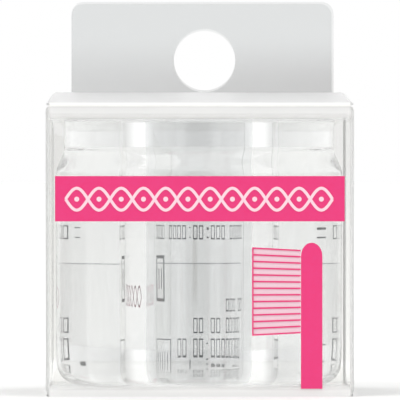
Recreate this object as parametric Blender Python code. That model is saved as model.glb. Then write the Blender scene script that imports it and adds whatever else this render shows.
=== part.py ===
# A clear round toothbrush stand in its clear folded hanging box.
# Metres, +Z up, front towards -Y, origin on the ground under the middle of the box.

import math

import bmesh
import bpy
from mathutils import Vector

# Stand, one clear moulding
STAND_RADIUS = 0.0175
STAND_HEIGHT = 0.0325
RIM_STEP = 0.0010  # the rim is this much narrower than the body
RIM_HEIGHT = 0.0036
RIM_ROUND = 0.00045
SHOULDER_HEIGHT = 0.0033
FOOT_STEP = 0.0008  # the body draws in by this much towards the ground
FOOT_HEIGHT = 0.0056
FOOT_ROUND = 0.0009

# Well that a brush stands in, with a drain through its floor
WELL_RADIUS = 0.0066
WELL_TAPER = 0.0001
WELL_FLOOR = 0.00245
MOUTH_ROUND = 0.0005
DRAIN_RADIUS = 0.0025
DRAIN_FLARE = 0.0011

# Clear sheet and the clearances between its folds
SHEET = 0.0003
SIDE_GAP = 0.0007  # stand to wall
HEADROOM = 0.0011  # stand to the flaps over it
CREASE_GAP = 0.00006  # slit that stands for a scored crease
LAYER_GAP = 0.00015  # between sheets that lie on each other
PLY_GAP = 0.0001  # between glued sheets
SEAM_GAP = 0.0001  # at the upright corners

# Hanging tab
TAB_HEIGHT = 0.0128
TAB_INSET = 0.0024  # how far the tab stands in from each side of the box
TAB_SHIFT = 0.00065  # the tab is cut this far to the right
TAB_ROUND = 0.0015
HOLE_RADIUS = 0.0038
HOLE_DROP = 0.00715  # from the top of the tab to the middle of the hole
HOLE_SHIFT = 0.00025
FOLD_SHIFT = 0.00025  # the folded ply misses the rear one by this much

# Lid, bottom and their flaps
LID_RISE = 0.0013  # the lid swells up towards the tab
LID_SIDE_GAP = 0.0001
LID_TUCK = 0.0045
BOTTOM_TUCK = 0.0040
TUCK_ROUND = 0.0022
TUCK_SIDE_GAP = 0.0006
TUCK_UNFOLD = 0.4  # turn of a tuck flap for each unit of its panel's turn
FLAP_REACH = 0.0130
FLAP_ROUND = 0.0012
FLAP_END_GAP = 0.0010
FLAP_TUCK_GAP = 0.0014
GLUE_WIDTH = 0.0100
GLUE_END = 0.0030

# Prints on the front and the label on the back
PRINT_LIFT = 0.00002
PRINT_DEPTH = 0.00008
STRIP_FOOT = 0.02104
STRIP_HEIGHT = 0.00543
STRIP_MARGIN = 0.00113
HANDLE_MARGIN = 0.00381
HANDLE_FOOT = 0.00096
HANDLE_WIDTH = 0.00257
HANDLE_HEIGHT = 0.01752
HEAD_ROUND = 0.0016
BRISTLE_LENGTH = 0.00586
BRISTLE_FOOT = 0.00731
BRISTLE_HEIGHT = 0.01062
BRISTLE_SLANT = 0.0003
BRISTLE_LINES = 14
LINE_WIDTH = 0.00017
LINE_END_GAP = 0.00004
LABEL_FOOT = 0.0009
LABEL_HEIGHT = 0.0146
LABEL_MARGIN = 0.0015
LABEL_ROUND = 0.0020

# How finely round shapes are divided
TURN_STEPS = 96
HOLE_STEPS = 48
ARC_STEPS = 6
ARCH_STEPS = 12

# Levels and planes that follow from the sizes
inner_half = STAND_RADIUS + SIDE_GAP
outer_half = inner_half + SHEET
side_foot = 2 * SHEET + LAYER_GAP + CREASE_GAP
stand_foot = 2 * SHEET + 2 * LAYER_GAP
side_top = stand_foot + STAND_HEIGHT + HEADROOM - CREASE_GAP
front_top = side_top + SHEET + LAYER_GAP
back_foot = SHEET + CREASE_GAP
lid_floor = front_top + CREASE_GAP
tab_top = lid_floor + TAB_HEIGHT
ply_face = inner_half - PLY_GAP - SHEET
lid_reach = outer_half + ply_face - LAYER_GAP
bottom_reach = outer_half + inner_half - LAYER_GAP


def finish(name, colour, roughness, clear=0.0):
    """A moulded or printed surface, with its colour in linear light."""
    material = bpy.data.materials.new(name)
    material.use_nodes = True
    surface = material.node_tree.nodes["Principled BSDF"]
    surface.inputs["Base Color"].default_value = (*colour, 1)
    surface.inputs["Roughness"].default_value = roughness
    surface.inputs["Metallic"].default_value = 0
    surface.inputs["Transmission Weight"].default_value = clear
    material.diffuse_color = (*colour, 1)
    return material


clear_moulding = finish("clear_acrylic", (0.86, 0.88, 0.90), 0.03, 1)
clear_sheet = finish("clear_sheet", (0.80, 0.81, 0.81), 0.06, 1)
pink_ink = finish("pink_ink", (0.86, 0.03, 0.17), 0.35)
pale_ink = finish("pale_pink_ink", (0.82, 0.52, 0.60), 0.4)
label_film = finish("label_film", (0.78, 0.80, 0.80), 0.2, 0.8)


def rounded(corners):
    """An outline through (x, y, radius) corners, with an arc wherever the radius isn't 0."""
    outline = []
    for i, (x, y, radius) in enumerate(corners):
        corner = Vector((x, y))
        if not radius:
            outline.append(corner)
            continue
        before = (Vector(corners[i - 1][:2]) - corner).normalized()
        after = (Vector(corners[(i + 1) % len(corners)][:2]) - corner).normalized()
        half = before.angle(after) / 2
        centre = corner + (before + after).normalized() * radius / math.sin(half)
        start = corner + before * radius / math.tan(half) - centre
        end = corner + after * radius / math.tan(half) - centre
        turn = start.angle_signed(end)
        for step in range(ARC_STEPS + 1):
            angle = math.atan2(start.y, start.x) - turn * step / ARC_STEPS
            outline.append(centre + radius * Vector((math.cos(angle), math.sin(angle))))
    return outline


def rectangle(left, right, low, high, radius=0.0):
    return rounded([(left, low, radius), (right, low, radius), (right, high, radius), (left, high, radius)])


def add(name, mesh, material, place, turn, parent):
    body = bpy.data.objects.new(name, mesh)
    body.data.materials.append(material)
    body.location = place
    body.rotation_euler = turn
    body.parent = parent
    bpy.context.collection.objects.link(body)
    return body


def plate(name, outline, depth, material, place, turn, parent):
    """A flat outline in its own XY plane, extruded by depth along its own +Z."""
    shape = bmesh.new()
    face = shape.faces.new([shape.verts.new((x, y, 0)) for x, y in outline])
    grown = bmesh.ops.extrude_face_region(shape, geom=[face])["geom"]
    tops = [item for item in grown if isinstance(item, bmesh.types.BMVert)]
    bmesh.ops.translate(shape, verts=tops, vec=(0, 0, depth))
    bmesh.ops.recalc_face_normals(shape, faces=shape.faces)
    mesh = bpy.data.meshes.new(name)
    shape.to_mesh(mesh)
    shape.free()
    return add(name, mesh, material, place, turn, parent)


def guide(name, place, turn=(0, 0, 0), parent=None):
    """An empty that marks a joint's axis or holds a group of pieces."""
    mark = bpy.data.objects.new(name, None)
    mark.empty_display_size = STAND_RADIUS / 4
    mark.location = place
    mark.rotation_euler = turn
    mark.parent = parent
    bpy.context.collection.objects.link(mark)
    return mark


upright = (math.pi / 2, 0, 0)  # own X and Y become X and Z, and depth runs to -Y
sideways = (math.pi / 2, 0, math.pi / 2)  # own X and Y become Y and Z, and depth runs to +X


def cut_round(body, name, radius, place, parent):
    """Cuts a round hole through a sheet, along Y."""
    through = 8 * (SHEET + PLY_GAP)
    bpy.ops.mesh.primitive_cylinder_add(vertices=HOLE_STEPS, radius=radius, depth=through)
    cutter = bpy.context.active_object
    cutter.name = name
    cutter.location = place
    cutter.rotation_euler = upright
    cutter.parent = parent
    cutter.hide_render = True
    cutter.display_type = "WIRE"
    cut = body.modifiers.new(name, "BOOLEAN")
    cut.operation = "DIFFERENCE"
    cut.object = cutter


def quarter(centre_r, centre_z, radius, first, last):
    """Points of an arc in the turned profile, in degrees from +R towards +Z."""
    angles = [math.radians(first + (last - first) * step / ARC_STEPS) for step in range(ARC_STEPS + 1)]
    return [(centre_r + radius * math.cos(a), centre_z + radius * math.sin(a)) for a in angles]


def stand_profile():
    """The wall of the stand from the mouth, over the rim, down the outside and up the well."""
    top = STAND_HEIGHT
    rim = STAND_RADIUS - RIM_STEP
    foot = STAND_RADIUS - FOOT_STEP
    well_foot = WELL_RADIUS - WELL_TAPER
    profile = quarter(rim - RIM_ROUND, top - RIM_ROUND, RIM_ROUND, 90, 0)
    shoulder = top - RIM_HEIGHT
    for step in range(ARC_STEPS + 1):
        share = step / ARC_STEPS
        swell = RIM_STEP * (1 - math.cos(math.pi * share)) / 2
        profile.append((rim + swell, shoulder - SHOULDER_HEIGHT * share))
    for step in range(ARC_STEPS):
        share = step / ARC_STEPS
        draw = FOOT_STEP * share * share
        profile.append((STAND_RADIUS - draw, FOOT_HEIGHT - (FOOT_HEIGHT - FOOT_ROUND) * share))
    profile += quarter(foot - FOOT_ROUND, FOOT_ROUND, FOOT_ROUND, 0, -90)
    profile.append((DRAIN_RADIUS, 0))
    profile.append((DRAIN_RADIUS + DRAIN_FLARE, WELL_FLOOR))
    profile.append((well_foot, WELL_FLOOR))
    mouth = quarter(WELL_RADIUS + MOUTH_ROUND, top - MOUTH_ROUND, MOUTH_ROUND, 180, 90)
    return profile + mouth


def make_stand(parent):
    points = stand_profile()
    mesh = bpy.data.meshes.new("stand_body")
    edges = [(i, (i + 1) % len(points)) for i in range(len(points))]
    mesh.from_pydata([(r, 0, z) for r, z in points], edges, [])
    stand = add("stand_body", mesh, clear_moulding, (0, 0, stand_foot), (0, 0, 0), parent)
    turned = stand.modifiers.new("turned", "SCREW")
    turned.steps = TURN_STEPS
    turned.render_steps = TURN_STEPS
    turned.use_merge_vertices = True
    turned.merge_threshold = 0.000001
    turned.use_smooth_shade = True


def make_sleeve(parent):
    """The four walls, the glued seam and the two plies of the hanging tab."""
    front = rectangle(-outer_half, outer_half, 0, front_top)
    plate("front_panel", front, SHEET, clear_sheet, (0, -inner_half, 0), upright, parent)

    side = rectangle(SEAM_GAP - inner_half, inner_half - SEAM_GAP, side_foot, side_top)
    plate("left_panel", side, SHEET, clear_sheet, (-outer_half, 0, 0), sideways, parent)
    plate("right_panel", side, SHEET, clear_sheet, (inner_half, 0, 0), sideways, parent)

    tab_left = TAB_SHIFT + TAB_INSET - outer_half
    tab_right = TAB_SHIFT - TAB_INSET + outer_half
    back = rounded(
        [
            (-outer_half, back_foot, 0),
            (outer_half, back_foot, 0),
            (outer_half, front_top, 0),
            (tab_right, front_top, 0),
            (tab_right, tab_top, TAB_ROUND),
            (tab_left, tab_top, TAB_ROUND),
            (tab_left, front_top, 0),
            (-outer_half, front_top, 0),
        ]
    )
    rear = plate("back_panel", back, SHEET, clear_sheet, (0, outer_half, 0), upright, parent)
    hole_x = TAB_SHIFT + HOLE_SHIFT
    hole_z = tab_top - HOLE_DROP
    cut_round(rear, "rear_hole", HOLE_RADIUS, (hole_x, outer_half, hole_z), parent)

    ply = rounded(
        [
            (tab_left - FOLD_SHIFT, front_top, 0),
            (tab_right - FOLD_SHIFT, front_top, 0),
            (tab_right - FOLD_SHIFT, tab_top - FOLD_SHIFT, TAB_ROUND),
            (tab_left - FOLD_SHIFT, tab_top - FOLD_SHIFT, TAB_ROUND),
        ]
    )
    inside_back = (0, inner_half - PLY_GAP, 0)
    folded = plate("hang_tab_front_ply", ply, SHEET, clear_sheet, inside_back, upright, parent)
    ply_hole = (hole_x - FOLD_SHIFT, inner_half - PLY_GAP, hole_z - FOLD_SHIFT)
    cut_round(folded, "ply_hole", HOLE_RADIUS, ply_hole, parent)

    glue = rounded(
        [
            (SEAM_GAP - inner_half, side_foot + GLUE_END, 0),
            (GLUE_WIDTH - inner_half, side_foot + 2 * GLUE_END, 0),
            (GLUE_WIDTH - inner_half, side_top - 2 * GLUE_END, 0),
            (SEAM_GAP - inner_half, side_top - GLUE_END, 0),
        ]
    )
    plate("glue_flap", glue, SHEET, clear_sheet, inside_back, upright, parent)


def tuck_lean(reach, rise, length):
    """The lean that lets a tuck flap's tip swing past the wall it stands against."""
    swing = max(0, length * (1 + TUCK_UNFOLD) - rise)
    needed = swing**2 / (2 * reach) - LAYER_GAP / 2
    return math.asin(max(0, needed) / length)


def make_closure(names, hinge, reach, rise, tuck):
    """A closing panel that runs along its hinge's +Y, and the tuck flap at its far edge."""
    width = 2 * (outer_half - LID_SIDE_GAP)
    steps = ARCH_STEPS if rise else 1
    arch = [(reach * i / steps, rise * math.sin(math.pi / 2 * i / steps)) for i in range(steps + 1)]
    under = [(y, z + CREASE_GAP) for y, z in arch]
    over = [(y, z + CREASE_GAP + SHEET) for y, z in reversed(arch)]
    place = (-width / 2, 0, 0)
    plate(names[0], under + over, width, clear_sheet, place, sideways, hinge)

    lean = tuck_lean(reach, rise + CREASE_GAP, tuck)
    crease = guide(names[2], (0, reach, rise + CREASE_GAP), (0, 0, 0), hinge)
    half = inner_half - TUCK_SIDE_GAP
    start = CREASE_GAP + SHEET * math.tan(lean)
    flap = rounded(
        [
            (-half, -start, 0),
            (-half, -tuck, TUCK_ROUND),
            (half, -tuck, TUCK_ROUND),
            (half, -start, 0),
        ]
    )
    turn = (math.pi / 2 - lean, 0, 0)
    plate(names[1], flap, SHEET, clear_sheet, (0, 0, 0), turn, crease)


def make_dust_flap(name, side, hinge, tuck_face):
    """A small flap folded in from a side wall, cut at 45 degrees where the closing panel hinges."""
    near = FLAP_END_GAP - inner_half
    far = tuck_face - FLAP_TUCK_GAP
    corners = [
        (0, near, 0),
        (FLAP_REACH, near + FLAP_REACH, FLAP_ROUND),
        (FLAP_REACH, far, FLAP_ROUND),
        (0, far, 0),
    ]
    outline = rounded([(-side * inward, along, radius) for inward, along, radius in corners])
    place = (0, 0, CREASE_GAP)
    plate(name, outline, SHEET, clear_sheet, place, (0, 0, 0), hinge)


def make_top(parent):
    hinge = guide("lid_crease", (0, -outer_half, front_top), parent=parent)
    names = ("lid_panel", "lid_tuck_flap", "lid_tuck_crease")
    make_closure(names, hinge, lid_reach, LID_RISE, LID_TUCK)
    tuck_face = lid_reach - outer_half - SHEET
    for word, side in (("left", -1), ("right", 1)):
        place = (side * outer_half, 0, side_top)
        crease = guide(f"top_{word}_dust_crease", place, parent=parent)
        make_dust_flap(f"top_{word}_dust_flap", side, crease, tuck_face)


def make_bottom(parent):
    """The lid's twin turned upside down, so that it hinges on the back wall."""
    over = (math.pi, 0, 0)
    hinge = guide("bottom_crease", (0, outer_half, back_foot), over, parent)
    names = ("bottom_panel", "bottom_tuck_flap", "bottom_tuck_crease")
    make_closure(names, hinge, bottom_reach, 0, BOTTOM_TUCK)
    tuck_face = bottom_reach - outer_half - SHEET
    for word, side in (("left", -1), ("right", 1)):
        place = (side * outer_half, 0, side_foot)
        crease = guide(f"bottom_{word}_dust_crease", place, over, parent)
        make_dust_flap(f"bottom_{word}_dust_flap", side, crease, tuck_face)


def bristle_corners():
    """Left and right ends of each bristle line's middle, from the lowest up, drawn in to the right."""
    right = outer_half - HANDLE_MARGIN - HANDLE_WIDTH
    left = right - BRISTLE_LENGTH
    ends = []
    for line in range(BRISTLE_LINES):
        share = line / (BRISTLE_LINES - 1)
        low = BRISTLE_FOOT + LINE_WIDTH / 2
        high = BRISTLE_FOOT + BRISTLE_HEIGHT - LINE_WIDTH / 2
        outer = low + (high - low) * share
        inner = outer + BRISTLE_SLANT * (1 - 2 * share)
        ends.append((Vector((left, outer)), Vector((right - LINE_END_GAP, inner))))
    return ends


def comb_outline(ends):
    """One outline round all the bristle lines and the upright line that joins them."""
    half = Vector((0, LINE_WIDTH / 2))
    first, last = ends[0], ends[-1]
    outline = [last[0] + half, first[0] - half, first[1] - half]
    for (left, right), (above_left, above_right) in zip(ends, ends[1:]):
        rise = (right - left).normalized() * LINE_WIDTH
        rise_above = (above_right - above_left).normalized() * LINE_WIDTH
        outline += [right + half, left + rise + half, above_left + rise_above - half, above_right - half]
    outline.append(last[1] + half)
    return outline


def make_prints(parent):
    """Thin layers of ink on the front wall and a clear label on the back wall."""
    layer = -outer_half - PRINT_LIFT
    strip_half = outer_half - STRIP_MARGIN
    strip = rectangle(-strip_half, strip_half, STRIP_FOOT, STRIP_FOOT + STRIP_HEIGHT)
    plate("title_strip", strip, PRINT_DEPTH, pink_ink, (0, layer, 0), upright, parent)

    right = outer_half - HANDLE_MARGIN
    left = right - HANDLE_WIDTH
    middle = (left + right) / 2
    shoulder = HANDLE_FOOT + HANDLE_HEIGHT - HEAD_ROUND
    handle = [(left, HANDLE_FOOT), (right, HANDLE_FOOT)]
    for step in range(2 * ARC_STEPS + 1):
        angle = math.pi * step / (2 * ARC_STEPS)
        across = HANDLE_WIDTH / 2 * math.cos(angle)
        handle.append((middle + across, shoulder + HEAD_ROUND * math.sin(angle)))
    plate("brush_handle_print", handle, PRINT_DEPTH, pink_ink, (0, layer, 0), upright, parent)

    ends = bristle_corners()
    half = Vector((0, LINE_WIDTH / 2))
    tint = [ends[0][0] - half, ends[0][1] - half, ends[-1][1] + half, ends[-1][0] + half]
    plate("bristle_tint_print", tint, PRINT_DEPTH, pale_ink, (0, layer, 0), upright, parent)
    place = (0, layer - PRINT_DEPTH - PRINT_LIFT, 0)
    lines = comb_outline(ends)
    plate("bristle_lines_print", lines, PRINT_DEPTH, pink_ink, place, upright, parent)

    label_half = outer_half - LABEL_MARGIN
    label = rectangle(-label_half, label_half, LABEL_FOOT, LABEL_FOOT + LABEL_HEIGHT, LABEL_ROUND)
    place = (0, outer_half + PRINT_LIFT + PRINT_DEPTH, 0)
    plate("back_label", label, PRINT_DEPTH, label_film, place, upright, parent)


for leftover in list(bpy.data.objects):
    bpy.data.objects.remove(leftover)

box = guide("stand_in_its_box", (0, 0, 0))
make_stand(box)
make_sleeve(box)
make_top(box)
make_bottom(box)
make_prints(box)
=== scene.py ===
import math

import bpy
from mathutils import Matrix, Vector


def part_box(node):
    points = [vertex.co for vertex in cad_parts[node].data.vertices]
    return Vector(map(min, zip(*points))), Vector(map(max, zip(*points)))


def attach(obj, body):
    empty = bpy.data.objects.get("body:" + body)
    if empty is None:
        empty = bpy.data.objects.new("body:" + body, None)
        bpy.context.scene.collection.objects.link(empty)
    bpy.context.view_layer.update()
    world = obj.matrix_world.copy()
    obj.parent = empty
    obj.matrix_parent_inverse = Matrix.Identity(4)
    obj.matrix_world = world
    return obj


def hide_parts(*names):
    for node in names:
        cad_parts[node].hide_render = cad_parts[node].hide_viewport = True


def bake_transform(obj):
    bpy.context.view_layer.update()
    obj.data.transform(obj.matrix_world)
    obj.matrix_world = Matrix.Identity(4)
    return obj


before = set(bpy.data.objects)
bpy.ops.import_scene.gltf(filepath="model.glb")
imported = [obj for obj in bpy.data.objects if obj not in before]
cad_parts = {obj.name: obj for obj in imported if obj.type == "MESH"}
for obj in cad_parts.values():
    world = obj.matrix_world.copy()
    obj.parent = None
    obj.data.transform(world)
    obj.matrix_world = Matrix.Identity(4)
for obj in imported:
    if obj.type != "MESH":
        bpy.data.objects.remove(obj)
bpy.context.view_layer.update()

# The looks of a clear round toothbrush stand in its clear folded hanging box.
# Metres, +Z up, front towards -Y, origin on the ground under the middle of the box.

mm = 0.001


def hexToLinear(code):
    channels = [int(code[i : i + 2], 16) / 255 for i in (1, 3, 5)]
    return [c / 12.92 if c <= 0.04045 else ((c + 0.055) / 1.055) ** 2.4 for c in channels] + [1.0]


def addNode(tree, kind, settings, feeds):
    # feeds gives each input a value or another node's output. On a Mix node 2 and 3 are the two
    # numbers that it mixes, and 6 and 7 the two colours
    node = tree.nodes.new(kind)
    for key, value in settings.items():
        setattr(node, key, value)
    for key, value in feeds.items():
        if isinstance(value, bpy.types.NodeSocket):
            tree.links.new(value, node.inputs[key])
        else:
            node.inputs[key].default_value = value
    return node


smoothly = {"interpolation_type": "SMOOTHSTEP"}
inColour = {"data_type": "RGBA"}


def startMaterial(name):
    material = bpy.data.materials.new(name)
    material.use_nodes = True
    return material, material.node_tree, material.node_tree.nodes["Principled BSDF"]


# Camera: a long lens a metre off, just above the height of the lid
view = {
    "place": (-6.0 * mm, -1123.5 * mm, 35.5 * mm),
    "target": (0.012 * mm, -18.5 * mm, 23.6 * mm),  # middle of the picture, on the front wall
    "lens": 829.4,
    "sensor": 36.0,
    "nearest": 0.01,
    "farthest": 10,
}


def makeCamera():
    bpy.ops.object.camera_add(location=view["place"])
    camera = bpy.context.object
    camera.name = "camera"
    aim = Vector(view["target"]) - Vector(view["place"])
    camera.rotation_euler = aim.to_track_quat("-Z", "Y").to_euler()
    camera.data.lens = view["lens"]
    camera.data.sensor_width = view["sensor"]
    camera.data.clip_start = view["nearest"]
    camera.data.clip_end = view["farthest"]
    bpy.context.scene.camera = camera


# Studio: white behind, brighter at the sides and dim in front, where the paper also ends
studio = {
    "ambient": 0.5,  # diffuse light from the horizon and below
    "zenith": 0.85,  # how much brighter it is straight above
    "frontLevel": 0.35,  # what glass and gloss see in front, at the sides and behind
    "sideLevel": 1.4,
    "backLevel": 1.0,
    "frontEdge": (-0.99, -0.75),  # where one level gives way to the next: -1 is straight in front
    "backEdge": (0.5, 0.95),  # and 1 straight behind
    "floorSize": 3.0,
    "floorFront": -0.16,
    "floorColour": "#f4f4f3",
    "floorRoughness": 0.9,
    "floorGlow": 0.02,  # brings the paper to white where it is looked at, past its shadow
    "lampSize": 0.9,
    "lampAim": (0, 0, 0.02),
    "keyPlace": (-0.85, -1.0, 1.4),
    "keyPower": 7.5,
    "fillPlace": (1.1, -0.9, 0.8),
    "fillPower": 3.6,
    "bounces": 96,  # a ray crosses the box, the stand and the well, and turns many times inside them
}


def makeWorld():
    world = bpy.data.worlds.new("studio")
    bpy.context.scene.world = world
    world.use_nodes = True
    tree = world.node_tree
    tree.nodes.clear()
    place = addNode(tree, "ShaderNodeTexCoord", {}, {})
    axes = addNode(tree, "ShaderNodeSeparateXYZ", {}, {0: place.outputs["Generated"]})
    side = addNode(
        tree,
        "ShaderNodeMapRange",
        smoothly,
        {
            "Value": axes.outputs["Y"],
            "From Min": studio["frontEdge"][0],
            "From Max": studio["frontEdge"][1],
            "To Min": studio["frontLevel"],
            "To Max": studio["sideLevel"],
        },
    )
    rear = addNode(
        tree,
        "ShaderNodeMapRange",
        smoothly,
        {
            "Value": axes.outputs["Y"],
            "From Min": studio["backEdge"][0],
            "From Max": studio["backEdge"][1],
            "To Min": 0.0,
            "To Max": studio["sideLevel"] - studio["backLevel"],
        },
    )
    allRound = addNode(
        tree, "ShaderNodeMath", {"operation": "SUBTRACT"}, {0: side.outputs[0], 1: rear.outputs[0]}
    )
    # Glass and gloss see allRound, matt surfaces get the light of the dome, and the eye sees white
    path = addNode(tree, "ShaderNodeLightPath", {}, {})
    bent = addNode(
        tree,
        "ShaderNodeMath",
        {"operation": "MAXIMUM"},
        {0: path.outputs["Is Glossy Ray"], 1: path.outputs["Is Transmission Ray"]},
    )
    dome = addNode(
        tree,
        "ShaderNodeMapRange",
        {},
        {
            "Value": axes.outputs["Z"],
            "To Min": studio["ambient"],
            "To Max": studio["ambient"] + studio["zenith"],
        },
    )
    level = addNode(
        tree, "ShaderNodeMix", {}, {"Factor": bent.outputs[0], 2: dome.outputs[0], 3: allRound.outputs[0]}
    )
    seen = addNode(
        tree, "ShaderNodeMix", {}, {"Factor": path.outputs["Is Camera Ray"], 2: level.outputs[0], 3: 1.0}
    )
    light = addNode(
        tree, "ShaderNodeBackground", {}, {"Color": (1, 1, 1, 1), "Strength": seen.outputs[0]}
    )
    addNode(tree, "ShaderNodeOutputWorld", {}, {0: light.outputs[0]})


def makeFloor():
    middle = studio["floorFront"] + studio["floorSize"] / 2
    bpy.ops.mesh.primitive_plane_add(size=studio["floorSize"], location=(0, middle, 0))
    floor = bpy.context.object
    floor.name = "floor"
    material, tree, surface = startMaterial("paperFloor")
    surface.inputs["Base Color"].default_value = hexToLinear(studio["floorColour"])
    surface.inputs["Roughness"].default_value = studio["floorRoughness"]
    path = addNode(tree, "ShaderNodeLightPath", {}, {})
    eye = addNode(
        tree,
        "ShaderNodeMath",
        {"operation": "MAXIMUM"},
        {0: path.outputs["Is Camera Ray"], 1: path.outputs["Is Transmission Ray"]},
    )
    gloss = path.outputs["Is Glossy Ray"]
    seen = addNode(tree, "ShaderNodeMath", {"operation": "MAXIMUM"}, {0: eye.outputs[0], 1: gloss})
    glow = addNode(
        tree, "ShaderNodeMath", {"operation": "MULTIPLY"}, {0: seen.outputs[0], 1: studio["floorGlow"]}
    )
    surface.inputs["Emission Color"].default_value = (1, 1, 1, 1)
    tree.links.new(glow.outputs[0], surface.inputs["Emission Strength"])
    floor.data.materials.append(material)


def addLamp(name, place, power):
    bpy.ops.object.light_add(type="AREA", location=place)
    lamp = bpy.context.object
    lamp.name = name
    lamp.data.shape = "SQUARE"
    lamp.data.size = studio["lampSize"]
    lamp.data.energy = power
    aim = Vector(studio["lampAim"]) - Vector(place)
    lamp.rotation_euler = aim.to_track_quat("-Z", "Y").to_euler()
    lamp.visible_camera = False


print("camera and studio")
makeCamera()
makeWorld()
makeFloor()
addLamp("keyLamp", studio["keyPlace"], studio["keyPower"])
addLamp("fillLamp", studio["fillPlace"], studio["fillPower"])

bpy.context.scene.view_settings.view_transform = "Standard"
bpy.context.scene.cycles.max_bounces = studio["bounces"]
bpy.context.scene.cycles.transmission_bounces = studio["bounces"]
bpy.context.scene.cycles.glossy_bounces = studio["bounces"]

acrylicIor = 1.49
polyesterIor = 1.57
polypropyleneIor = 1.49


def objectPlace(tree, stretch):
    # Object coordinates in metres; stretch slows a pattern along an axis
    coords = addNode(tree, "ShaderNodeTexCoord", {}, {})
    return addNode(tree, "ShaderNodeMapping", {}, {"Vector": coords.outputs["Object"], "Scale": stretch})


# A faint darker upright line in the stand: it fades out from its core to its half width, and from its
# middle to its ends
streak = {
    "x": -0.6 * mm,
    "z": 15.5 * mm,
    "before": -10 * mm,  # only the wall in front of this y has it
    "core": 0.1 * mm,
    "halfWidth": 0.45 * mm,
    "middle": 2 * mm,
    "halfLength": 6.5 * mm,
}


def streakMask(tree):
    # 1 along a narrow upright line at the front of the stand, halfway up, and 0 elsewhere
    place = addNode(tree, "ShaderNodeTexCoord", {}, {})
    axes = addNode(tree, "ShaderNodeSeparateXYZ", {}, {0: place.outputs["Object"]})
    spans = []
    for axis, centre, full, end in (
        ("X", streak["x"], streak["core"], streak["halfWidth"]),
        ("Z", streak["z"], streak["middle"], streak["halfLength"]),
    ):
        shift = {0: axes.outputs[axis], 1: centre}
        aside = addNode(tree, "ShaderNodeMath", {"operation": "SUBTRACT"}, shift)
        off = addNode(tree, "ShaderNodeMath", {"operation": "ABSOLUTE"}, {0: aside.outputs[0]})
        fade = {"Value": off.outputs[0], "From Min": end, "From Max": full}
        spans.append(addNode(tree, "ShaderNodeMapRange", smoothly, fade).outputs[0])
    line = addNode(tree, "ShaderNodeMath", {"operation": "MULTIPLY"}, {0: spans[0], 1: spans[1]})
    inFront = {0: axes.outputs["Y"], 1: streak["before"]}
    front = addNode(tree, "ShaderNodeMath", {"operation": "LESS_THAN"}, inFront)
    both = {0: line.outputs[0], 1: front.outputs[0]}
    return addNode(tree, "ShaderNodeMath", {"operation": "MULTIPLY"}, both).outputs[0]


def clearAcrylic():
    # Acrylic, injection moulded and flame polished: water clear, with soft flow waves down the wall
    # that make what stands behind it waver, and a faint darker upright line in front
    material, tree, surface = startMaterial("polishedAcrylic")
    surface.inputs["Transmission Weight"].default_value = 1
    surface.inputs["IOR"].default_value = acrylicIor
    flowWidth = 5.0 * mm
    cloudWidth = 9 * mm
    waveHeight = 0.045 * mm
    flow = objectPlace(tree, (1, 1, 0.12))  # drawn out down the wall
    waves = addNode(
        tree,
        "ShaderNodeTexNoise",
        {},
        {"Vector": flow.outputs[0], "Scale": 1 / flowWidth, "Detail": 1.0, "Roughness": 0.4},
    )
    cloud = addNode(
        tree, "ShaderNodeTexNoise", {}, {"Vector": flow.outputs[0], "Scale": 1 / cloudWidth, "Detail": 2.0}
    )
    tint = addNode(
        tree,
        "ShaderNodeMix",
        inColour,
        {"Factor": cloud.outputs[0], 6: hexToLinear("#edeeef"), 7: hexToLinear("#f3f4f5")},
    )
    # Darker grey along a narrow upright line in the front wall, halfway up
    streaked = {"Factor": streakMask(tree), 6: tint.outputs[2], 7: hexToLinear("#cfcfcd")}
    body = addNode(tree, "ShaderNodeMix", inColour, streaked)
    tree.links.new(body.outputs[2], surface.inputs["Base Color"])
    polish = addNode(
        tree, "ShaderNodeMapRange", {}, {"Value": cloud.outputs[0], "To Min": 0.0, "To Max": 0.02}
    )
    tree.links.new(polish.outputs[0], surface.inputs["Roughness"])
    ripple = addNode(
        tree, "ShaderNodeBump", {}, {"Strength": 1.0, "Distance": waveHeight, "Height": waves.outputs[0]}
    )
    tree.links.new(ripple.outputs[0], surface.inputs["Normal"])
    return material


# Where the front wall goes milky beside its creases, and where it is milky in full
haze = {
    "topStart": 32.8 * mm,
    "topFull": 34.1 * mm,
    "footStart": 1.9 * mm,
    "footFull": 0.7 * mm,
    "wall": -18 * mm,  # only what lies in front of this y is hazed
}


def creaseHaze(tree, surface, amount):
    # Milkiness of the front wall, which fades away from its creased top and bottom edges
    place = addNode(tree, "ShaderNodeTexCoord", {}, {})
    axes = addNode(tree, "ShaderNodeSeparateXYZ", {}, {0: place.outputs["Object"]})
    spans = []
    for end in ("top", "foot"):
        span = {"From Min": haze[end + "Start"], "From Max": haze[end + "Full"], "To Max": amount}
        height = {"Value": axes.outputs["Z"]}
        spans.append(addNode(tree, "ShaderNodeMapRange", {}, {**height, **span}).outputs[0])
    ends = addNode(tree, "ShaderNodeMath", {"operation": "ADD"}, {0: spans[0], 1: spans[1]})
    inFront = {0: axes.outputs["Y"], 1: haze["wall"]}
    front = addNode(tree, "ShaderNodeMath", {"operation": "LESS_THAN"}, inFront)
    both = {0: ends.outputs[0], 1: front.outputs[0]}
    milk = addNode(tree, "ShaderNodeMath", {"operation": "MULTIPLY"}, both)
    clear = addNode(tree, "ShaderNodeMath", {"operation": "SUBTRACT"}, {0: 1.0, 1: milk.outputs[0]})
    tree.links.new(clear.outputs[0], surface.inputs["Transmission Weight"])


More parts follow.
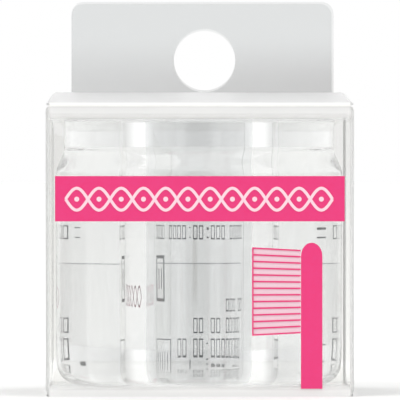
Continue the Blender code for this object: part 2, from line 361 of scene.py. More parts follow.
def clearSheet(name, shade, tail, rub, milk, creaseMilk):
    # Polyester sheet, extruded and die cut: clear and glossy, with fine rubbing marks from
    # handling, which rub sets, and a slow waviness that bends reflections. milk is how much of it
    # has gone white all over, and creaseMilk how much beside the creases of the front wall
    material, tree, surface = startMaterial(name)
    surface.inputs["Transmission Weight"].default_value = 1 - milk
    waveWidth = 11 * mm
    waveHeight = 0.012 * mm
    rubWidth = 0.7 * mm
    seepage = 0.6 * mm
    if milk:
        surface.inputs["Subsurface Weight"].default_value = 1
        surface.inputs["Subsurface Radius"].default_value = (1, 1, 1)
        surface.inputs["Subsurface Scale"].default_value = seepage
    if creaseMilk:
        creaseHaze(tree, surface, creaseMilk)
    surface.inputs["IOR"].default_value = polyesterIor
    place = objectPlace(tree, (1, 1, 1))
    waves = addNode(
        tree,
        "ShaderNodeTexNoise",
        {},
        {"Vector": place.outputs[0], "Scale": 1 / waveWidth, "Detail": 1.0, "Roughness": 0.3},
    )
    drawn = objectPlace(tree, (0.3, 1, 0.08))  # drawn out down the walls, and across the lid
    rubbing = addNode(
        tree,
        "ShaderNodeTexNoise",
        {},
        {"Vector": drawn.outputs[0], "Scale": 1 / rubWidth, "Detail": 3.0, "Roughness": 0.6},
    )
    wear = {"From Min": 0.3, "From Max": 0.7, "To Min": rub * 0.75, "To Max": rub}
    worn = addNode(tree, "ShaderNodeMapRange", {}, {"Value": rubbing.outputs[0], **wear})
    tree.links.new(worn.outputs[0], surface.inputs["Roughness"])
    tint = addNode(
        tree,
        "ShaderNodeMix",
        inColour,
        {"Factor": waves.outputs[0], 6: hexToLinear(shade), 7: hexToLinear(tail)},
    )
    tree.links.new(tint.outputs[2], surface.inputs["Base Color"])
    depth = waveHeight * (1 - milk) ** 2
    ripple = addNode(
        tree, "ShaderNodeBump", {}, {"Strength": 1.0, "Distance": depth, "Height": waves.outputs[0]}
    )
    tree.links.new(ripple.outputs[0], surface.inputs["Normal"])
    return material


def tabSheet():
    # The same sheet in two glued plies, with painted shade that greys it most at its lower right
    material, tree, surface = startMaterial("gluedPolyesterPaintedShade")
    surface.inputs["Transmission Weight"].default_value = 1
    surface.inputs["IOR"].default_value = polyesterIor
    surface.inputs["Roughness"].default_value = 0.02
    glueWidth = 8 * mm
    glueHeight = 0.012 * mm
    upper, foot = 44 * mm, 36.5 * mm
    leftmost, rightmost = -20 * mm, 18 * mm
    place = addNode(tree, "ShaderNodeTexCoord", {}, {})
    axes = addNode(tree, "ShaderNodeSeparateXYZ", {}, {0: place.outputs["Object"]})
    # Painted shade: a mask that grows towards the tab's foot and towards its right side
    lower = addNode(
        tree,
        "ShaderNodeMapRange",
        smoothly,
        {"Value": axes.outputs["Z"], "From Min": upper, "From Max": foot},
    )
    across = {"From Min": leftmost, "From Max": rightmost, "To Min": 0.55, "To Max": 1.0}
    right = addNode(tree, "ShaderNodeMapRange", {}, {"Value": axes.outputs["X"], **across})
    dull = addNode(
        tree, "ShaderNodeMath", {"operation": "MULTIPLY"}, {0: lower.outputs[0], 1: right.outputs[0]}
    )
    # Painted shade: the tint goes from clear to grey where that mask is high
    tint = addNode(
        tree,
        "ShaderNodeMix",
        inColour,
        {"Factor": dull.outputs[0], 6: hexToLinear("#f6f7f7"), 7: hexToLinear("#e8e8e8")},
    )
    tree.links.new(tint.outputs[2], surface.inputs["Base Color"])
    glue = addNode(
        tree,
        "ShaderNodeTexNoise",
        {},
        {"Vector": place.outputs["Object"], "Scale": 1 / glueWidth, "Detail": 1.0},
    )
    ripple = addNode(
        tree, "ShaderNodeBump", {}, {"Strength": 1.0, "Distance": glueHeight, "Height": glue.outputs[0]}
    )
    tree.links.new(ripple.outputs[0], surface.inputs["Normal"])
    return material


def whitenedCrease(name, clearness, shade, tail):
    # Polyester creased by a rule: the stretched fold goes milky and scatters light, the more so
    # the sharper it is folded, which clearness sets
    material, tree, surface = startMaterial(name)
    surface.inputs["Transmission Weight"].default_value = clearness
    surface.inputs["IOR"].default_value = polyesterIor
    crazeWidth = 0.4 * mm
    place = objectPlace(tree, (1, 1, 1))
    crazing = addNode(
        tree,
        "ShaderNodeTexNoise",
        {},
        {"Vector": place.outputs[0], "Scale": 1 / crazeWidth, "Detail": 3.0},
    )
    tint = addNode(
        tree,
        "ShaderNodeMix",
        inColour,
        {"Factor": crazing.outputs[0], 6: hexToLinear(shade), 7: hexToLinear(tail)},
    )
    tree.links.new(tint.outputs[2], surface.inputs["Base Color"])
    dull = addNode(
        tree, "ShaderNodeMapRange", {}, {"Value": crazing.outputs[0], "To Min": 0.25, "To Max": 0.45}
    )
    tree.links.new(dull.outputs[0], surface.inputs["Roughness"])
    return material


def shearedEdge():
    # Polyester cut by a steel rule: the narrow edge is torn matt and catches the light as a pale line
    material, tree, surface = startMaterial("shearedPolyester")
    surface.inputs["Transmission Weight"].default_value = 0.35
    surface.inputs["IOR"].default_value = polyesterIor
    tearWidth = 0.25 * mm
    place = objectPlace(tree, (1, 1, 1))
    tearing = addNode(
        tree, "ShaderNodeTexNoise", {}, {"Vector": place.outputs[0], "Scale": 1 / tearWidth, "Detail": 2.0}
    )
    tint = addNode(
        tree,
        "ShaderNodeMix",
        inColour,
        {"Factor": tearing.outputs[0], 6: hexToLinear("#f4f4f3"), 7: hexToLinear("#e6e7e7")},
    )
    tree.links.new(tint.outputs[2], surface.inputs["Base Color"])
    dull = addNode(
        tree, "ShaderNodeMapRange", {}, {"Value": tearing.outputs[0], "To Min": 0.35, "To Max": 0.6}
    )
    tree.links.new(dull.outputs[0], surface.inputs["Roughness"])
    return material


def ink(name, shade, tail, grain, gloss):
    # Solvent ink screen printed on the sheet: dense and even, with the mesh's faint mottle.
    # The real mesh is about 0.1 mm and is drawn coarser, as grain says, so that it shows
    material, tree, surface = startMaterial(name)
    inkHeight = 0.004 * mm
    place = objectPlace(tree, (1, 1, 1))
    mottle = addNode(
        tree,
        "ShaderNodeTexNoise",
        {},
        {"Vector": place.outputs[0], "Scale": 1 / grain, "Detail": 3.0, "Roughness": 0.6},
    )
    tint = addNode(
        tree,
        "ShaderNodeMix",
        inColour,
        {"Factor": mottle.outputs[0], 6: hexToLinear(shade), 7: hexToLinear(tail)},
    )
    tree.links.new(tint.outputs[2], surface.inputs["Base Color"])
    sheen = addNode(
        tree, "ShaderNodeMapRange", {}, {"Value": mottle.outputs[0], "To Min": gloss, "To Max": gloss + 0.2}
    )
    tree.links.new(sheen.outputs[0], surface.inputs["Roughness"])
    film = addNode(
        tree, "ShaderNodeBump", {}, {"Strength": 0.6, "Distance": inkHeight, "Height": mottle.outputs[0]}
    )
    tree.links.new(film.outputs[0], surface.inputs["Normal"])
    return material


def stickerEdge(tree):
    # 1 along the sticker's cut edge, a rectangle with rounded corners, and 0 inside it
    low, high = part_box("back_label")
    radius = 2.0 * mm
    cutWidth = 0.14 * mm
    place = addNode(tree, "ShaderNodeTexCoord", {}, {})
    shifted = addNode(
        tree,
        "ShaderNodeVectorMath",
        {"operation": "SUBTRACT"},
        {0: place.outputs["Object"], 1: ((low.x + high.x) / 2, 0, (low.z + high.z) / 2)},
    )
    mirrored = addNode(tree, "ShaderNodeVectorMath", {"operation": "ABSOLUTE"}, {0: shifted.outputs[0]})
    straight = ((high.x - low.x) / 2 - radius, 1, (high.z - low.z) / 2 - radius)
    past = addNode(
        tree, "ShaderNodeVectorMath", {"operation": "SUBTRACT"}, {0: mirrored.outputs[0], 1: straight}
    )
    corner = {0: past.outputs[0], 1: (0, 0, 0)}
    outside = addNode(tree, "ShaderNodeVectorMath", {"operation": "MAXIMUM"}, corner)
    reach = addNode(tree, "ShaderNodeVectorMath", {"operation": "LENGTH"}, {0: outside.outputs[0]})
    rim = {0: reach.outputs["Value"], 1: radius - cutWidth}
    return addNode(tree, "ShaderNodeMath", {"operation": "GREATER_THAN"}, rim).outputs[0]


def stickerFilm():
    # Clear polypropylene sticker with a satin face: nearly unseen but for its cut edge
    material, tree, surface = startMaterial("stickerFilm")
    surface.inputs["Transmission Weight"].default_value = 1
    surface.inputs["IOR"].default_value = polypropyleneIor
    satinWidth = 1.5 * mm
    place = objectPlace(tree, (1, 1, 1))
    satin = addNode(
        tree, "ShaderNodeTexNoise", {}, {"Vector": place.outputs[0], "Scale": 1 / satinWidth, "Detail": 2.0}
    )
    tint = addNode(
        tree,
        "ShaderNodeMix",
        inColour,
        {"Factor": satin.outputs[0], 6: hexToLinear("#fcfcfc"), 7: hexToLinear("#fefefe")},
    )
    cut = addNode(
        tree,
        "ShaderNodeMix",
        inColour,
        {"Factor": stickerEdge(tree), 6: tint.outputs[2], 7: hexToLinear("#b4b6b8")},
    )
    tree.links.new(cut.outputs[2], surface.inputs["Base Color"])
    face = addNode(
        tree, "ShaderNodeMapRange", {}, {"Value": satin.outputs[0], "To Min": 0.02, "To Max": 0.09}
    )
    tree.links.new(face.outputs[0], surface.inputs["Roughness"])
    return material


print("materials")
acrylic = clearAcrylic()
polyester = clearSheet("clearPolyester", "#fbfbfa", "#fdfdfc", 0.03, 0.0, 0.0)
sleevePolyester = clearSheet("clearSleevePolyester", "#fbfbfa", "#fdfdfc", 0.03, 0.0, 0.75)
lidPolyester = clearSheet("rubbedPolyester", "#fcfcfc", "#fefefd", 0.4, 0.65, 0.0)
tabPolyester = tabSheet()
creased = whitenedCrease("creasedPolyester", 0.1, "#fdfdfa", "#f6f6f2")
folded = whitenedCrease("foldedPolyester", 0.6, "#f6f6f5", "#fafaf9")
sheared = shearedEdge()
pinkInk = ink("screenPrintedPink", "#e72a72", "#e4397e", 0.45 * mm, 0.35)
paleInk = ink("screenPrintedPalePink", "#ecd0d9", "#e9c7d3", 0.5 * mm, 0.4)
ornamentInk = ink("screenPrintedBlush", "#fbd9e2", "#f8cbd8", 0.4 * mm, 0.4)
greyInk = ink("printedSlateGrey", "#666b74", "#84888f", 0.3 * mm, 0.5)
labelFilm = stickerFilm()


def finishPiece(piece, body, material, nodes):
    if piece.data.materials:
        piece.data.materials[0] = material
    else:
        piece.data.materials.append(material)
    if body:
        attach(piece, body)
    if nodes:
        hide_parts(*nodes)
    print(piece.name, len(piece.data.vertices), "points")


def arcPoints(centre, radius, first, last, steps):
    angles = [math.radians(first + (last - first) * i / steps) for i in range(steps + 1)]
    return [(centre[0] + radius * math.cos(a), centre[1] + radius * math.sin(a)) for a in angles]


# Stand: a thick wall round a narrow well, with a narrower rim above a soft shoulder, a rounded
# foot and a drain hole
stand = {
    "steps": 256,
    "arc": 10,
    "easeSteps": 12,
    "smooth": 32,  # edges below this angle are shaded round
    "weldGap": 0.002 * mm,
    "radius": 17.5 * mm,
    "rimStep": 1.0 * mm,
    "rimHeight": 3.6 * mm,
    "rimRound": 0.45 * mm,
    "shoulder": 3.3 * mm,
    "footStep": 0.1 * mm,
    "footHeight": 5.6 * mm,
    "footRound": 2.7 * mm,
    "well": 6.6 * mm,
    "wellTaper": 0.1 * mm,
    "wellFloor": 2.45 * mm,
    "wellRound": 0.15 * mm,
    "mouthRound": 0.5 * mm,
    "hold": 0.06 * mm,  # a flat line beside each round, which keeps the straight wall's shading flat
    "drain": 2.5 * mm,
    "drainFlare": 1.1 * mm,
}


def standProfile(foot, top):
    s = stand
    rim = s["radius"] - s["rimStep"]
    base = s["radius"] - s["footStep"]
    hold = s["hold"]
    points = arcPoints((rim - s["rimRound"], top - s["rimRound"]), s["rimRound"], 90, 0, s["arc"])
    points.append((rim, top - s["rimRound"] - hold))
    points.append((rim, top - s["rimHeight"] + hold))
    for i in range(s["easeSteps"] + 1):
        share = i / s["easeSteps"]
        swell = s["rimStep"] * (1 - math.cos(math.pi * share)) / 2
        points.append((rim + swell, top - s["rimHeight"] - s["shoulder"] * share))
    points.append((s["radius"], top - s["rimHeight"] - s["shoulder"] - hold))
    points.append((s["radius"], foot + s["footHeight"] + hold))
    for i in range(s["easeSteps"]):
        share = i / s["easeSteps"]
        height = s["footHeight"] - (s["footHeight"] - s["footRound"]) * share
        points.append((s["radius"] - s["footStep"] * share * share, foot + height))
    points += arcPoints((base - s["footRound"], foot + s["footRound"]), s["footRound"], 0, -90, s["arc"])
    points.append((base - s["footRound"] - hold, foot))
    points.append((s["drain"], foot))
    points.append((s["drain"] + s["drainFlare"], foot + s["wellFloor"]))
    corner = (s["well"] - s["wellTaper"] - s["wellRound"], foot + s["wellFloor"] + s["wellRound"])
    points.append((corner[0] - hold, foot + s["wellFloor"]))
    points += arcPoints(corner, s["wellRound"], -90, 0, s["arc"])
    points.append((s["well"] - s["wellTaper"], corner[1] + hold))
    mouth = (s["well"] + s["mouthRound"], top - s["mouthRound"])
    points.append((s["well"], mouth[1] - hold))
    points += arcPoints(mouth, s["mouthRound"], 180, 90, s["arc"])
    return points


def turnProfile(name, points, steps):
    # A point drawn out along the profile, then spun round the upright axis
    bpy.ops.object.select_all(action="DESELECT")
    bpy.ops.mesh.primitive_circle_add(vertices=3, radius=mm)
    piece = bpy.context.object
    piece.name = name
    bpy.ops.object.mode_set(mode="EDIT")
    bpy.ops.mesh.select_all(action="SELECT")
    bpy.ops.mesh.merge(type="CENTER")
    start = points[0]
    bpy.ops.transform.translate(value=(start[0], 0, start[1]))
    last = start
    for r, z in points[1:]:
        bpy.ops.mesh.extrude_region_move(TRANSFORM_OT_translate={"value": (r - last[0], 0, z - last[1])})
        last = (r, z)
    bpy.ops.mesh.select_all(action="SELECT")
    bpy.ops.mesh.edge_face_add()
    bpy.ops.mesh.delete(type="ONLY_FACE")
    bpy.ops.mesh.select_all(action="SELECT")
    bpy.ops.mesh.spin(steps=steps, angle=2 * math.pi, center=(0, 0, 0), axis=(0, 0, 1))
    bpy.ops.mesh.select_all(action="SELECT")
    bpy.ops.mesh.remove_doubles(threshold=stand["weldGap"])
    bpy.ops.mesh.normals_make_consistent(inside=False)
    bpy.ops.object.mode_set(mode="OBJECT")
    bpy.ops.object.transform_apply(location=True, rotation=True, scale=True)
    bpy.ops.object.shade_smooth_by_angle(angle=math.radians(stand["smooth"]))
    return piece


def makeStand():
    low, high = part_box("stand_body")
    piece = turnProfile("standMoulding", standProfile(low.z, high.z), stand["steps"])
    finishPiece(piece, "stand", acrylic, ["stand_body"])


# Folded sheets
sheet = {
    "thick": 0.3 * mm,
    "bend": 0.45 * mm,  # outer radius of a crease
    "bendSteps": 6,
    "hold": 0.06 * mm,  # a flat line beside each bend, which keeps the wall's shading flat
    "slit": 0.01 * mm,  # between a crease and the sheets that it joins
    "smooth": 30,
    "glueSlope": 3.0 * mm,  # how far the ends of the glue flap slope in
    "punchSteps": 96,
}


def makeSheet(name, lines, thick, edge=None):
    # A grid whose lines across are laid out one by one, then given its thickness inwards and,
    # where it is cut sheet, the finish of its edges
    bpy.ops.object.select_all(action="DESELECT")
    count = len(lines) - 1
    bpy.ops.mesh.primitive_grid_add(x_subdivisions=count, y_subdivisions=1, size=2)
    piece = bpy.context.object
    piece.name = name
    for vertex in piece.data.vertices:
        line = lines[round((vertex.co.x + 1) / 2 * count)]
        vertex.co = line[1] if vertex.co.y > 0 else line[0]
    if edge:
        piece.data.materials.append(edge)
        piece.data.materials.append(edge)
    wall = piece.modifiers.new("wall", "SOLIDIFY")
    wall.material_offset_rim = 1
    wall.thickness = thick
    wall.offset = -1
    wall.use_even_offset = True
    bpy.ops.object.modifier_apply(modifier=wall.name)
    bpy.ops.object.shade_smooth_by_angle(angle=math.radians(sheet["smooth"]))
    return piece


def cutHole(piece, place, radius):
    # A round punch through an upright sheet
    bpy.ops.object.select_all(action="DESELECT")
    bpy.ops.mesh.primitive_cylinder_add(
        vertices=sheet["punchSteps"],
        radius=radius,
        depth=8 * sheet["thick"],
        location=place,
        rotation=(math.pi / 2, 0, 0),
    )
    punch = bpy.context.object
    bpy.ops.object.select_all(action="DESELECT")
    bpy.context.view_layer.objects.active = piece
    piece.select_set(True)
    cut = piece.modifiers.new("cut", "BOOLEAN")
    cut.operation = "DIFFERENCE"
    cut.object = punch
    bpy.ops.object.modifier_apply(modifier=cut.name)
    bpy.data.objects.remove(punch)
    bpy.ops.object.shade_smooth_by_angle(angle=math.radians(sheet["smooth"]))


def upright(x, y, low, high):
    return Vector((x, y, low)), Vector((x, y, high))


def uprightBend(centre, first, before, after):
    # A quarter turn of the wall from one pair of heights to the next, with its two flat hold lines
    lines = []
    turns = arcPoints(centre, sheet["bend"], first, first + 90, sheet["bendSteps"])
    for i, (x, y) in enumerate(turns):
        share = i / sheet["bendSteps"]
        low = before[0] + (after[0] - before[0]) * share
        high = before[1] + (after[1] - before[1]) * share
        lines.append(upright(x, y, low, high))
    angle = math.radians(first)
    back = Vector((math.sin(angle), -math.cos(angle), 0)) * sheet["hold"]
    onward = Vector((-math.cos(angle), -math.sin(angle), 0)) * sheet["hold"]
    lines.insert(0, tuple(point + back for point in lines[0]))
    lines.append(tuple(point + onward for point in lines[-1]))
    return lines


# Hanging tab: the back wall runs up into it, and a second ply is glued in front
tab = {
    "round": 1.5 * mm,
    "hole": 3.8 * mm,
    "holeDrop": 7.15 * mm,
    "roundSteps": 8,
    "shift": 0.25 * mm,  # the front ply misses the rear one by this much
    "holeShift": 0.38 * mm,
    "notch": 0.002 * mm,  # keeps two lines of the sheet, and its two holes, from coinciding
}


def roundedTop(left, right, low, top, radius):
    # Heights of a tab with two rounded corners, from its right side to its left
    steps = tab["roundSteps"]
    turns = arcPoints((right - radius, top - radius), radius, 0, 90, steps)
    turns += arcPoints((left + radius, top - radius), radius, 90, 180, steps)
    return [(x, low, z) for x, z in turns]


def makeSleeve():
    # One sheet folded round: glue flap, left side, front, right side, back. Each wall is given by
    # the heights of its foot and top
    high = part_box("back_panel")[1]
    glueLow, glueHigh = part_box("glue_flap")
    plyLow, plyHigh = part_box("hang_tab_front_ply")
    half = high.x
    inset = half - sheet["bend"]
    slit = sheet["slit"]
    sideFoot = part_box("bottom_left_dust_flap")[0].z + sheet["bend"] + slit
    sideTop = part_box("top_left_dust_flap")[1].z - sheet["bend"] - slit
    sides = (sideFoot, sideTop)
    front = (0.0, lidCentre[1] - slit)
    rear = (sheet["bend"] + slit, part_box("front_panel")[1].z)
    glueStart = (glueLow.z + sheet["glueSlope"], glueHigh.z - sheet["glueSlope"])
    glueEnd = (glueLow.z, glueHigh.z)
    glueY = glueHigh.y
    lines = [upright(glueHigh.x, glueY, *glueStart)]
    lines += uprightBend((-inset, glueY - sheet["bend"]), 90, glueEnd, sides)
    lines += uprightBend((-inset, -inset), 180, sides, front)
    lines += uprightBend((inset, -inset), 270, front, sides)
    lines += uprightBend((inset, inset), 0, sides, rear)
    tabLeft = plyLow.x
    tabRight = plyHigh.x + tab["shift"]
    tabTop = high.z
    lines.append(upright(tabRight + tab["notch"], half, *rear))
    for x, foot, top in roundedTop(tabLeft, tabRight, rear[0], tabTop, tab["round"]):
        lines.append(upright(x, half, foot, top))
    lines.append(upright(tabLeft - tab["notch"], half, *rear))
    lines.append(upright(-half, half, *rear))
    piece = makeSheet("sleeveSheet", lines, sheet["thick"], sheared)
    bpy.ops.object.mode_set(mode="EDIT")
    bpy.ops.mesh.select_all(action="SELECT")
    bpy.ops.mesh.bisect(plane_co=(0, 0, rear[1]), plane_no=(0, 0, 1))
    bpy.ops.object.mode_set(mode="OBJECT")
    holeX = (plyLow.x + plyHigh.x) / 2 + tab["holeShift"]
    cutHole(piece, (holeX, half, tabTop - tab["holeDrop"]), tab["hole"])
    nodes = ["front_panel", "back_panel", "left_panel", "right_panel", "glue_flap"]
    finishPiece(piece, "sleeve", sleevePolyester, nodes)
    # Its own material is 0 and its cut edge 1; the tab takes 2 and the folded corners 3
    piece.data.materials.append(tabPolyester)
    piece.data.materials.append(folded)
    for face in piece.data.polygons:
        if face.material_index == 0 and face.center.z > rear[1]:
            face.material_index = 2
        if abs(face.center.x) > inset and abs(face.center.y) > inset:
            face.material_index = 3


def makeTabPly():
    low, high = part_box("hang_tab_front_ply")
    heights = roundedTop(low.x, high.x, low.z, high.z, tab["round"])
    lines = [upright(x, low.y, foot, top) for x, foot, top in heights]
    lines.reverse()
    piece = makeSheet("tabPlySheet", lines, sheet["thick"], sheared)
    holeX = (low.x + high.x) / 2 + tab["holeShift"] - tab["notch"]
    holeZ = high.z - tab["holeDrop"]
    cutHole(piece, (holeX, low.y, holeZ), tab["hole"])
    finishPiece(piece, "sleeve", tabPolyester, ["hang_tab_front_ply"])


# Lid, bottom, their tuck flaps and the dust flaps
closure = {
    "archSteps": 24,
    "lidBow": 0.8 * mm,  # the lid's swell dies away this near its sides,
    "bowSteps": 5,
    "bowDrop": 0.8,  # by this share of it
    "bottomLine": 9 * mm,  # from each crease of the bottom to a line across it
    "tuckRound": 2.2 * mm,
    "tuckLean": 0.75,  # the bottom tuck flap's share of the solid's lean
    "dustRound": 1.2 * mm,
    "dustRake": 0.4,  # how much of that round the raked side gets
    "cornerSteps": 6,
}
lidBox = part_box("lid_panel")
lidRise = lidBox[1].z - lidBox[0].z - sheet["thick"]
lidReach = lidBox[1].y - lidBox[0].y


def lidFace(y):
    # Height of the lid's outer face, which swells towards the tab
    share = (y - lidBox[0].y) / lidReach
    return lidBox[0].z + sheet["thick"] + lidRise * math.sin(math.pi / 2 * share)


lidStart = lidBox[0].y + sheet["bend"]
lidEnd = lidBox[1].y - sheet["bend"]
lidCentre = (lidStart, lidFace(lidStart) - sheet["bend"])
lidTuckCentre = (lidEnd, lidFace(lidEnd) - sheet["bend"])
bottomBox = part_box("bottom_panel")
bottomStart = bottomBox[1].y - sheet["bend"]
bottomEnd = bottomBox[0].y + sheet["bend"]


def bowLid(piece):
    # The swell dies away towards both sides of the lid
    bow = closure["lidBow"]
    edge = lidBox[1].x
    bpy.ops.object.mode_set(mode="EDIT")
    for step in range(closure["bowSteps"]):
        x = edge - bow * (1 - step / closure["bowSteps"])
        for side in (-1, 1):
            bpy.ops.mesh.select_all(action="SELECT")
            bpy.ops.mesh.bisect(plane_co=(side * x, 0, 0), plane_no=(1, 0, 0))
    bpy.ops.object.mode_set(mode="OBJECT")
    for vertex in piece.data.vertices:
        share = max(0, (abs(vertex.co.x) - edge + bow) / bow)
        swell = lidFace(vertex.co.y) - lidBox[0].z - sheet["thick"]
        vertex.co.z -= closure["bowDrop"] * swell * share * share


def makeLid():
    slit = sheet["slit"]
    steps = closure["archSteps"]
    lines = []
    for i in range(steps + 1):
        y = lidStart + slit + (lidEnd - lidStart - 2 * slit) * i / steps
        lines.append((Vector((lidBox[1].x, y, lidFace(y))), Vector((lidBox[0].x, y, lidFace(y)))))
    piece = makeSheet("lidSheet", lines, sheet["thick"], sheared)
    bowLid(piece)
    finishPiece(piece, "lid", lidPolyester, ["lid_panel"])


def makeBottom():
    slit = sheet["slit"]
    inward = closure["bottomLine"]
    places = (bottomStart - slit, bottomStart - inward, bottomEnd + inward, bottomEnd + slit)
    lines = [(Vector((bottomBox[1].x, y, 0)), Vector((bottomBox[0].x, y, 0))) for y in places]
    piece = makeSheet("bottomSheet", lines, sheet["thick"], sheared)
    finishPiece(piece, "bottom", polyester, ["bottom_panel"])


def tuckHeights(half, radius):
    # How far short of the tuck flap's end each line stops, for its two rounded corners
    right = arcPoints((half - radius, radius), radius, 0, -90, closure["cornerSteps"])
    return right + [(-x, short) for x, short in reversed(right)]


def makeLidTuck():
    low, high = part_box("lid_tuck_flap")
    faceLow = low.y + sheet["thick"]
    top = lidTuckCentre[1] - sheet["slit"]
    lines = []
    for x, short in tuckHeights(high.x, closure["tuckRound"]):
        z = low.z + short
        lean = (high.y - faceLow) * (high.z - z) / (high.z - low.z)
        lines.append((Vector((x, high.y - lean, z)), Vector((x, high.y, top))))
    piece = makeSheet("lidTuckSheet", lines, sheet["thick"], sheared)
    finishPiece(piece, "lid_tuck", polyester, ["lid_tuck_flap"])


def makeBottomTuck():
    low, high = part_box("bottom_tuck_flap")
    # It leans in a little less than the solid, to keep clear of the stand's rounded foot
    leanMost = (high.y - sheet["thick"] - low.y) * closure["tuckLean"]
    foot = sheet["bend"] + sheet["slit"]
    lines = []
    for x, short in tuckHeights(high.x, closure["tuckRound"]):
        z = high.z - short
        lean = leanMost * (z - low.z) / (high.z - low.z)
        lines.append((Vector((x, low.y, foot)), Vector((x, low.y + lean, z))))
    lines.reverse()
    piece = makeSheet("bottomTuckSheet", lines, sheet["thick"], sheared)
    finishPiece(piece, "bottom_tuck", polyester, ["bottom_tuck_flap"])


def dustLines(low, high, side, mitreAtFront):
    # From the wall's crease inwards: one side is cut at 45 degrees, the free corners are rounded
    radius = closure["dustRound"]
    steps = closure["cornerSteps"]
    start = sheet["bend"] + sheet["slit"]
    tip = high.x - low.x - radius
    edge = [(start, start, 0.0), (tip, tip, 0.0)]
    for i in range(1, steps + 1):
        turn = math.radians(90 * i / steps)
        inward = tip + radius * math.sin(turn)
        soft = radius * (1 - math.cos(turn))
        edge.append((inward, inward + soft * closure["dustRake"], soft))
    lines = []
    for inward, mitre, corner in edge:
        x = low.x + inward if side < 0 else high.x - inward
        atFront, atBack = (mitre, corner) if mitreAtFront else (corner, mitre)
        lines.append((x, low.y + atFront, high.y - atBack))
    if side > 0:
        lines.reverse()
    return lines


def makeDustFlaps():
    for word, side in (("Left", -1), ("Right", 1)):
        node = f"top_{word.lower()}_dust_flap"
        low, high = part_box(node)
        lines = [
            (Vector((x, near, high.z)), Vector((x, far, high.z)))
            for x, near, far in dustLines(low, high, side, True)
        ]
        piece = makeSheet(f"top{word}DustSheet", lines, sheet["thick"], sheared)
        finishPiece(piece, f"top_{word.lower()}_dust", polyester, [node])

        node = f"bottom_{word.lower()}_dust_flap"
        low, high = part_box(node)
        lines = [
            (Vector((x, far, low.z)), Vector((x, near, low.z)))
            for x, near, far in dustLines(low, high, side, False)
        ]
        piece = makeSheet(f"bottom{word}DustSheet", lines, sheet["thick"], sheared)
        finishPiece(piece, f"bottom_{word.lower()}_dust", polyester, [node])


# Creases: short quarter turns of whitened sheet
def makeCrease(name, along, centre, first, last, ends, bodies):
    turns = arcPoints(centre, sheet["bend"], first, last, sheet["bendSteps"])
    if along == "x":
        lines = [(Vector((ends[0], a, z)), Vector((ends[1], a, z))) for a, z in turns]
    else:
        lines = [(Vector((a, ends[0], z)), Vector((a, ends[1], z))) for a, z in turns]
    piece = makeSheet(name, lines, sheet["thick"])
    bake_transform(piece)
    finishPiece(piece, None, creased, [])


def makeCreases():
    bend = sheet["bend"]
    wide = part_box("front_panel")[1].x - bend
    ends = (wide, -wide)
    makeCrease("lidCrease", "x", lidCentre, 180, 90, ends, ("sleeve", "lid"))
    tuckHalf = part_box("lid_tuck_flap")[1].x
    tuckEnds = (tuckHalf, -tuckHalf)
    makeCrease("lidTuckCrease", "x", lidTuckCentre, 90, 0, tuckEnds, ("lid", "lid_tuck"))
    bottomCentre = (bottomStart, bend)
    makeCrease("bottomCrease", "x", bottomCentre, 0, -90, ends, ("sleeve", "bottom"))
    bottomTuckCentre = (bottomEnd, bend)
    tuckPair = ("bottom", "bottom_tuck")
    makeCrease("bottomTuckCrease", "x", bottomTuckCentre, -90, -180, tuckEnds, tuckPair)
    # Where a turn starts at the flap, its pair of bodies is reversed
    for word, side in (("left", -1), ("right", 1)):
        low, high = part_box(f"top_{word}_dust_flap")
        centre = (side * wide, high.z - bend)
        turn = (180, 90) if side < 0 else (90, 0)
        pair = ("sleeve", f"top_{word}_dust")[::-side]
        name = f"top{word.capitalize()}DustCrease"
        makeCrease(name, "y", centre, *turn, (low.y + bend, high.y), pair)

        low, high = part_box(f"bottom_{word}_dust_flap")
        centre = (side * wide, low.z + bend)
        turn = (270, 180) if side < 0 else (0, -90)
        pair = ("sleeve", f"bottom_{word}_dust")[::side]
        name = f"bottom{word.capitalize()}DustCrease"
        makeCrease(name, "y", centre, *turn, (low.y, high.y - bend), pair)


# Ornament on the pink strip: a running braid of two waves with a dot in each eye
ornament = {
    "left": -16.1 * mm,
    "right": 15.9 * mm,
    "foot": 22.2 * mm,
    "top": 25.2 * mm,
    "stroke": 0.36 * mm,
    "eyes": 12,
    "stepsPerEye": 12,
    "dot": 0.3 * mm,
    "dotSteps": 24,
    "depth": 0.03 * mm,
    "lift": 0.02 * mm,
    "over": 0.004 * mm,  # how far one wave stands in front of the other
}


def joinPieces(name, parts):
    bpy.ops.object.select_all(action="DESELECT")
    for part in parts:
        part.select_set(True)
    bpy.context.view_layer.objects.active = parts[0]
    bpy.ops.object.join()
    bpy.context.object.name = name
    return bpy.context.object


def waveLines(place, run, stroke, sign):
    # One wave of the braid: pairs of points across its stroke
    left, right, low, high, eyes = run
    middle = (low + high) / 2
    swing = (high - low - stroke) / 2
    length = right - left
    count = eyes * ornament["stepsPerEye"]
    lines = []
    for i in range(count + 1):
        phase = math.pi * eyes * i / count
        slope = sign * swing * math.pi * eyes / length * math.cos(phase)
        across = Vector((-slope, 1)).normalized() * stroke / 2
        centre = Vector((left + length * i / count, middle + sign * swing * math.sin(phase)))
        lines.append((place(centre - across, sign), place(centre + across, sign)))
    return lines


